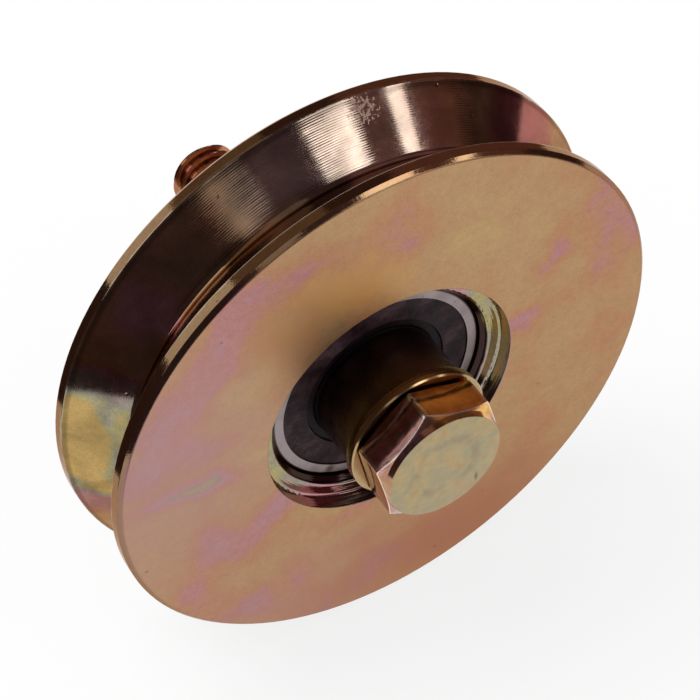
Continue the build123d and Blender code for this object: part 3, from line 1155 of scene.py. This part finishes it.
# %% Group: hexagon edge
rounded_corner = 9.72
hexagon_edge, given, put = start_group(
    "hexagon edge",
    {"Middle mm": 0.0, "Half height mm": 4.0, "Cone radius mm": 8.0, "Line mm": 0.15},
    ["Mask"],
)
tree = hexagon_edge
place = use(tree, lathe_place, given["Point"])
from_axis = 0.0
for azimuth in (0.0, 60.0, 120.0):
    normal = (math.cos(math.radians(azimuth)), 0.0, math.sin(math.radians(azimuth)))
    reach = add(tree, "ShaderNodeVectorMath", {"operation": "DOT_PRODUCT"}, i0=given["Point"], i1=normal)
    from_axis = larger(tree, from_axis, size_of(tree, reach.outputs["Value"]))
off_flat = size_of(tree, stretch(tree, from_axis, 1000.0, -flat))
level = size_of(tree, minus(tree, place["Offset mm"], given["Middle mm"]))
slope = times(tree, minus(tree, place["Radius mm"], given["Cone radius mm"]), chamfer_slope)
off_cone = size_of(tree, minus(tree, minus(tree, given["Half height mm"], level), slope))
line_away = sums(tree, "DIVIDE", larger(tree, off_flat, off_cone), given["Line mm"])
corner_away = sums(tree, "DIVIDE", minus(tree, rounded_corner, place["Radius mm"]), given["Line mm"])
edge_away = sums(tree, "MINIMUM", line_away, corner_away)
ragged = noise(tree, given["Point"], 700.0, 3.0, 0.6)
edge_away = plus(tree, edge_away, times(tree, minus(tree, ragged, 0.5), 1.2))
finish_group(tree, put, Mask=remap(tree, edge_away, 1.0, 0.4))


def worn_hexagon(tree, point, corner, **values):
    """The worn-edge mask of a hexagon with a corner at this azimuth."""
    turned = add(tree, "ShaderNodeMapping", Vector=point, Rotation=(0, math.radians(corner - 30.0), 0))
    return use(tree, hexagon_edge, turned.outputs[0], Line_mm=0.17, **values)["Mask"]


# %% [markdown]
# The bolt's plating: flats and stud
#
# The bolt's film is thicker than the wheel's. One flat of the head is painted bright orange and its
# neighbour purple, as painted reflection of what these flats mirror, and a fine mottle lies over both.
# The threaded end behind the wheel is coppery.

# %% Bolt plating: flats and stud
bolt_plating, tree, shader, point, colour = small_plating(
    "bolt plating", 0.50, 6.0, 0.4, 0.15, pitch_mm=0.5, relief_mm=0.006
)
where = use(tree, lathe_place, point)
mottle = noise(tree, point, 800.0, 4.0, 0.6)
# Painted reflection: an orange patch on one flat and a purple one on its neighbour stand for what these
# flats mirror.
orange = patch(tree, point, (4.0, -18.2, 8.6), 6.5, 1.0, core=0.75)
colour = blend(tree, times(tree, orange, 0.85), colour, (0.86, 0.47, 0.13))
purple = patch(tree, point, (-6.6, -18.2, 6.4), 6.0, 1.0, core=0.7)
purple = times(tree, purple, remap(tree, mottle, 0.35, 0.6, 0.35, 0.95))
colour = blend(tree, purple, colour, (0.56, 0.28, 0.28))
colour = scaled(tree, colour, stretch(tree, mottle, 1.1, 0.45))
on_stud = remap(tree, where["Offset mm"], 13.0, 14.0)
coppery = blend(tree, 1.0, colour, (0.92, 0.74, 0.62), "MULTIPLY")
colour = blend(tree, on_stud, colour, coppery)
print("bolt's flats and stud coloured")

# %% [markdown]
# The bolt's plating: top and edges
#
# The head's flat top is pale straw and grey-green, with a smudged ring that a spanner's socket left and
# one small dent. The edges come last, because bright rubbed metal lies over every other colour.

# %% Bolt plating: top and edges
on_top = remap(tree, where["Offset mm"], -21.30, -21.42)
top_cloud = noise(tree, point, 230.0, 5.0, 0.6, 0.5)
top_colours = [
    (0.30, (0.44, 0.30, 0.155)),
    (0.45, (0.43, 0.33, 0.175)),
    (0.56, (0.38, 0.32, 0.195)),
    (0.70, (0.39, 0.30, 0.20)),
]
straw = ramp(tree, top_cloud, top_colours)
socket_ring = 4.6
top_ring = remap(tree, size_of(tree, minus(tree, where["Radius mm"], socket_ring)), 1.1, 0.2)
smudge = times(tree, top_ring, remap(tree, top_cloud, 0.42, 0.60, 0.0, 0.28))
straw = blend(tree, smudge, straw, (0.20, 0.14, 0.09))
straw = scaled(tree, straw, stretch(tree, mottle, 0.5, 0.75))
dent = patch(tree, point, (4.8, head_top, -5.0), 0.9, 0.8, (2.2, 1, 0.8), 0.2)
straw = blend(tree, dent, straw, (0.16, 0.09, 0.05))
colour = blend(tree, on_top, colour, straw)
rub = worn_hexagon(tree, point, bolt_corner, Middle_mm=hex_foot, Half_height_mm=4.95, Cone_radius_mm=flat)
colour = blend(tree, times(tree, rub, 0.85), colour, (0.86, 0.76, 0.64))
side_rough = stretch(tree, mottle, 0.16, 0.07)
top_rough = stretch(tree, mottle, 0.2, 0.24)
plug(tree, shader, Base_Color=colour, Roughness=mix_values(tree, on_top, side_rough, top_rough))
bolt.data.materials.clear()
bolt.data.materials.append(bolt_plating)
print("bolt plating on", bolt.name)

# %% [markdown]
# The nut's plating
#
# The nut sits behind the wheel and is the plainest of the small parts: an even gold film, with the same
# rubbed edges as the bolt's head, on both of its sides.

# %% Nut plating
nut_plating, tree, shader, point, colour = small_plating(
    "nut plating", 0.28, 7.0, 0.6, 0.22, pitch_mm=0.5, relief_mm=0.008, darkness=0.05
)
nut_middle, nut_half = (nut_seat + nut_end) / 2, (nut_end - nut_seat) / 2
rub = worn_hexagon(
    tree, point, nut_corner, Middle_mm=nut_middle, Half_height_mm=nut_half, Cone_radius_mm=nut_face
)
plug(tree, shader, Base_Color=blend(tree, times(tree, rub, 0.7), colour, (0.72, 0.64, 0.50)))
nut.data.materials.clear()
nut.data.materials.append(nut_plating)
print("nut plating on", nut.name)

# %% [markdown]
# Floor and background
#
# The wheel stands on a white sheet that goes on out of sight. The sheet is a large plane whose material
# is lit like paper near the wheel, so that it catches the soft shadow, and turns into plain white
# further out. The plain white is only for what the camera, a mirror or a glass sees, and adds no light.

# %% Floor
def seen_rays(tree):
    """One for the rays that show a thing to the camera, a mirror or a glass, and nothing for others."""
    rays = tree.nodes.new("ShaderNodeLightPath").outputs
    through = larger(tree, rays["Is Glossy Ray"], rays["Is Transmission Ray"])
    return larger(tree, rays["Is Camera Ray"], through)


floor_level = -0.0402
white = (1.0, 1.0, 1.0)
deselect_all()
bpy.ops.mesh.primitive_grid_add(x_subdivisions=8, y_subdivisions=8, size=8.0, location=(0, 0, floor_level))
floor = bpy.context.active_object
floor.name = "floor"
bpy.ops.object.transform_apply(location=True, rotation=True, scale=True)
paper = bpy.data.materials.new("paper sheet")
paper.use_nodes = True
tree = paper.node_tree
tree.nodes.clear()
leave = tree.nodes.new("ShaderNodeOutputMaterial")
point = tree.nodes.new("ShaderNodeTexCoord").outputs["Object"]
lit = add(tree, "ShaderNodeBsdfDiffuse", Color=(0.88, 0.88, 0.88))
plain = add(tree, "ShaderNodeEmission", Color=white, Strength=1.0)
outer = remap(tree, length(tree, point), 0.06, 0.14, 0.80, 1.0)
share = times(tree, outer, seen_rays(tree))
mixed = add(tree, "ShaderNodeMixShader", Fac=share, i1=lit.outputs[0], i2=plain.outputs[0])
tree.links.new(mixed.outputs[0], leave.inputs["Surface"])
floor.data.materials.append(paper)
print("floor at", floor_level)

# %% [markdown]
# The world
#
# The world stands for the pale room. What the camera and the shiny metal see of it is plain white, but
# the light that it sheds on the wheel is only about half as strong, so that the lamps still shape the
# wheel and its colours don't wash out.

# %% World
world = bpy.data.worlds.new("white room")
bpy.context.scene.world = world
world.use_nodes = True
tree = world.node_tree
tree.nodes.clear()
leave = tree.nodes.new("ShaderNodeOutputWorld")
room_light = 0.55
strength = stretch(tree, seen_rays(tree), 1.0 - room_light, room_light)
sky = add(tree, "ShaderNodeBackground", Color=white, Strength=strength)
tree.links.new(sky.outputs[0], leave.inputs["Surface"])
print("world ready")

# %% [markdown]
# Lamps
#
# A wide lamp overhead, a little behind and to the left, gives the soft shadow at the lower right. The
# bright bands in the groove are reflections: each is where the flank mirrors one softbox, so the
# softbox's direction sets the band's place and its width sets the band's width. The front softbox makes
# the broad band, a tall narrow one, which stands nearer, makes the crisp one at the right, and a faint
# one at the left gives the glimmer low in the groove. A softbox's power grows with its area, so that
# its brightness, which is what the metal mirrors, can be given as one number.

# %% Lamps
def hang(name, direction, distance, width, height, brightness, aim=(0.0, 0.0, 0.0)):
    """A softbox at this distance in this direction, facing the wheel."""
    data = bpy.data.lights.new(name, "AREA")
    data.shape = "RECTANGLE"
    data.size, data.size_y = width, height
    watts_by_area = brightness * 4.0
    data.energy = watts_by_area * width * height
    lamp = bpy.data.objects.new(name, data)
    bpy.context.scene.collection.objects.link(lamp)
    place = Vector(aim) + Vector(direction).normalized() * distance
    lamp.location = place
    lamp.visible_camera = False
    lamp.rotation_mode = "QUATERNION"
    lamp.rotation_quaternion = (Vector(aim) - place).to_track_quat("-Z", "Y")
    return lamp


overhead = hang("overhead", (-0.40, 0.35, 0.85), 0.9, 0.7, 0.7, 3.2)
overhead.visible_glossy = False
right_flank = (0.0096, 0.003, 0.0357)
hang("front_softbox", (0.362, -0.742, 0.552), 0.8, 0.215, 0.26, 2.2)
hang("narrow_softbox", (0.728, -0.615, 0.345), 0.5, 0.038, 0.20, 2.15, right_flank)
hang("left_glimmer", (-0.237, -0.826, 0.51), 0.8, 0.19, 0.24, 0.34)

# %% [markdown]
# Dark cards
#
# Metal shows its surroundings, so a picture of metal is made with what stands round it. The real
# wheel's groove is dark wherever it mirrors the unlit room in front of the white sheet. Here large
# cards in dark browns stand for that room, and smaller ones near the wheel shape the left flank, as a
# photographer places black paper. The cards are seen only by reflections, so they shade nothing.

# %% Dark cards
def stand_card(name, corners, shade):
    """A flat dark card through four corners, in metres, seen only by reflections."""
    deselect_all()
    bpy.ops.mesh.primitive_plane_add(size=1.0)
    card = bpy.context.active_object
    card.name = name
    for vertex, corner in zip(card.data.vertices, (corners[0], corners[1], corners[3], corners[2])):
        vertex.co = Vector(corner)
    card.visible_camera = False
    card.visible_diffuse = False
    card.visible_shadow = False
    card.visible_transmission = False
    card.visible_volume_scatter = False
    cloth = bpy.data.materials.new(name)
    cloth.use_nodes = True
    tree = cloth.node_tree
    tree.nodes.clear()
    leave = tree.nodes.new("ShaderNodeOutputMaterial")
    glow = add(tree, "ShaderNodeEmission", Color=shade, Strength=1.0)
    tree.links.new(glow.outputs[0], leave.inputs["Surface"])
    card.data.materials.append(cloth)


def upright(start, end, bottom, top):
    """The corners of a card that stands on the line from start to end."""
    return [(*start, bottom), (*end, bottom), (*end, top), (*start, top)]


def overhanging(left, right):
    """The corners of a level card above the wheel."""
    front, back, height = -1.2, 1.3, 1.1
    return [(left, front, height), (right, front, height), (right, back, height), (left, back, height)]


low, wall = floor_level, 1.2
dark = (0.075, 0.042, 0.040)
cards = {
    "right_card": (upright((0.40, 0.60), (0.38, -1.1), low, wall), (0.20, 0.10, 0.095)),
    "near_right_card": (upright((0.385, 0.0), (0.385, -0.17), low, wall), (0.07, 0.045, 0.05)),
    "front_card": (upright((0.45, -1.1), (-0.80, -1.1), low, wall), (0.095, 0.065, 0.076)),
    "left_card": (upright((-0.088, -0.135), (-0.22, 0.05), low, 0.3), (0.056, 0.042, 0.052)),
    "low_card": (upright((-0.133, -0.074), (-0.06, 0.107), low, 0.034), (0.06, 0.038, 0.034)),
    "ceiling_card": (overhanging(0.0, 1.2), dark),
    "left_ceiling_card": (overhanging(-1.0, 0.0), (0.22, 0.16, 0.12)),
    "back_card": (upright((0.40, 0.60), (0.9, 1.3), 0.25, wall), dark),
}
for name, (corners, shade) in cards.items():
    stand_card(name, corners, shade)
print("cards standing:", len(cards))

# %% [markdown]
# Closing
#
# The view transform is Standard, so that a colour comes out as it is written.

# %% Finish
bpy.context.scene.view_settings.view_transform = "Standard"
deselect_all()
bpy.context.view_layer.update()
